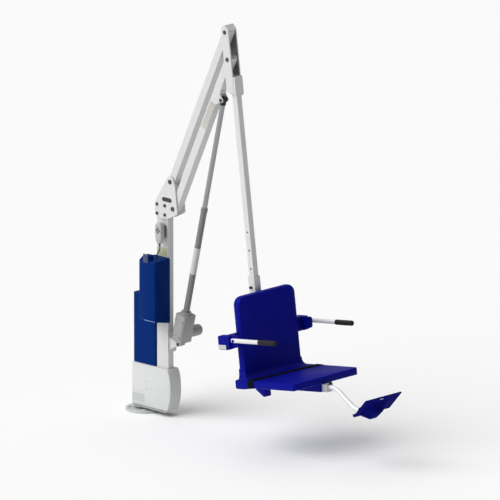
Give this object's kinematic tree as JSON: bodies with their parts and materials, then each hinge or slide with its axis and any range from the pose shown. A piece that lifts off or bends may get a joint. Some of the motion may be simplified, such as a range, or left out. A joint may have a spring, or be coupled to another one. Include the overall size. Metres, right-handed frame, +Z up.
{
  "type": "pool patient lift",
  "caption": "Deck mounted swimming pool lift: a turning mast with a parallelogram arm, linear actuator and a moulded seat on a hanging post.",
  "frame": {"origin": "on the slewing axis at deck level, the middle of the deck flange's underside", "axes": "+Z up along the slewing axis, +X out over the water, the way the seat faces, +Y to the side away from the control box"},
  "size_m": [1.9957, 0.6606, 2.3692],
  "materials": {
    "white_coat": "satin",
    "grey_coat": "satin",
    "blue_coat": "satin",
    "steel": "brushed",
    "bronze": "satin",
    "casting": "matt",
    "cover_plastic": "satin",
    "navy_plastic": "satin",
    "seat_plastic": "satin",
    "black_plastic": "matt",
    "handset_plastic": "matt",
    "grip_rubber": "matt",
    "webbing": "woven"
  },
  "bodies": {
    "base": {"deck_flange": "grey_coat", "slew_spindle": "steel", "slew_gear": "steel"},
    "mast": {"slew_bearing": "bronze", "swing_plate": "grey_coat", "base_cover": "cover_plastic", "mast_tube": "white_coat", "slew_motor": "black_plastic", "battery_cover": "navy_plastic", "battery_pack": "black_plastic", "control_cover": "navy_plastic", "control_chassis": "black_plastic", "knuckle_plate_near": "white_coat", "knuckle_plate_far": "white_coat", "mast_bolt_1": "steel", "mast_bolt_2": "steel", "mast_bolt_3": "steel", "mast_bolt_4": "steel", "upper_arm_pin": "steel", "lower_arm_pin": "steel", "actuator_bracket": "white_coat", "bracket_pin": "steel", "handset_holder": "black_plastic", "handset": "handset_plastic", "handset_lead": "grip_rubber"},
    "pinion": {"slew_pinion": "steel"},
    "up_key": {"key_up": "grip_rubber"},
    "down_key": {"key_down": "grip_rubber"},
    "left_key": {"key_left": "grip_rubber"},
    "right_key": {"key_right": "grip_rubber"},
    "upper_arm_body": {"upper_arm": "white_coat"},
    "lower_arm_body": {"lower_arm": "white_coat", "actuator_lugs": "white_coat", "lug_pin": "steel"},
    "actuator": {"actuator_gearbox": "casting", "actuator_motor": "casting", "actuator_tube": "grey_coat", "lead_screw": "steel"},
    "rod": {"actuator_rod": "steel", "rod_head": "black_plastic"},
    "hanger": {"head_bracket": "white_coat", "upper_hanger_pin": "steel", "lower_hanger_pin": "steel", "seat_post": "white_coat"},
    "carriage": {"seat_sleeve": "white_coat", "crossbar": "blue_coat", "armrest_bracket_near": "seat_plastic", "armrest_bracket_far": "seat_plastic", "seat_shell": "seat_plastic", "seat_frame": "grey_coat", "lap_belt": "webbing", "footrest_clip": "black_plastic"},
    "plunger": {"height_plunger": "black_plastic"},
    "armrest_near": {"armrest_tube_near": "steel", "armrest_grip_near": "grip_rubber"},
    "armrest_far": {"armrest_tube_far": "steel", "armrest_grip_far": "grip_rubber"},
    "footrest": {"footrest_tube": "steel", "footrest_plate": "seat_plastic"}
  },
  "joints": [
    {"name": "slew", "type": "hinge", "parent": "base", "child": "mast", "pos_m": [0, 0, 0.03], "axis": [0, 0, 1], "continuous": true},
    {"name": "pinion_spin", "type": "hinge", "parent": "mast", "child": "pinion", "pos_m": [0.05, 0, 0.1], "axis": [0, 0, 1], "continuous": true},
    {"name": "lift", "type": "hinge", "parent": "mast", "child": "upper_arm_body", "pos_m": [0.2409, 0, 1.3824], "axis": [0, 1, 0], "range_deg": [0, 76]},
    {"name": "lower_arm_turn", "type": "hinge", "parent": "mast", "child": "lower_arm_body", "pos_m": [0.26108, 0, 1.227], "axis": [0, 1, 0], "range_deg": [0, 76]},
    {"name": "hanger_turn", "type": "hinge", "parent": "upper_arm_body", "child": "hanger", "pos_m": [0.67218, 0, 2.32876], "axis": [0, 1, 0], "range_deg": [-76, 0]},
    {"name": "actuator_foot", "type": "hinge", "parent": "mast", "child": "actuator", "pos_m": [0.29118, 0, 0.43758], "axis": [0, 1, 0], "range_deg": [0, 38]},
    {"name": "rod_eye", "type": "hinge", "parent": "lower_arm_body", "child": "rod", "pos_m": [0.63176, 0, 1.92464], "axis": [0, 1, 0], "range_deg": [-38, 0]},
    {"name": "seat_height", "type": "slide", "parent": "hanger", "child": "carriage", "axis": [-0.1288, 0, 0.9917], "range_m": [0, 0.315]},
    {"name": "height_pull", "type": "slide", "parent": "carriage", "child": "plunger", "axis": [0, -1, 0], "range_m": [0, 0.008], "stiffness_N_per_m": 350, "springref_m": -0.004},
    {"name": "armrest_near_lift", "type": "hinge", "parent": "carriage", "child": "armrest_near", "pos_m": [1.01961, -0.3143, 0.6475], "axis": [0, -1, 0], "range_deg": [0, 90]},
    {"name": "armrest_far_lift", "type": "hinge", "parent": "carriage", "child": "armrest_far", "pos_m": [1.01961, 0.3143, 0.6475], "axis": [0, -1, 0], "range_deg": [0, 90]},
    {"name": "footrest_slide", "type": "slide", "parent": "carriage", "child": "footrest", "axis": [0.9917, 0, 0.1288], "range_m": [0, 0.08]},
    {"name": "up_press", "type": "slide", "parent": "mast", "child": "up_key", "axis": [0, 1, 0], "range_m": [0, 0.0015], "stiffness_N_per_m": 180, "springref_m": -0.001},
    {"name": "down_press", "type": "slide", "parent": "mast", "child": "down_key", "axis": [0, 1, 0], "range_m": [0, 0.0015], "stiffness_N_per_m": 180, "springref_m": -0.001},
    {"name": "left_press", "type": "slide", "parent": "mast", "child": "left_key", "axis": [0, 1, 0], "range_m": [0, 0.0015], "stiffness_N_per_m": 180, "springref_m": -0.001},
    {"name": "right_press", "type": "slide", "parent": "mast", "child": "right_key", "axis": [0, 1, 0], "range_m": [0, 0.0015], "stiffness_N_per_m": 180, "springref_m": -0.001}
  ],
  "couplings": [
    {"joint": "pinion_spin", "follows": "slew", "ratio": 2.3333},
    {"joint": "lower_arm_turn", "follows": "lift", "ratio": 1},
    {"joint": "hanger_turn", "follows": "lift", "ratio": -1},
    {"joint": "actuator_foot", "follows": "lift", "ratio": 0.5},
    {"joint": "rod_eye", "follows": "lift", "ratio": -0.5}
  ]
}
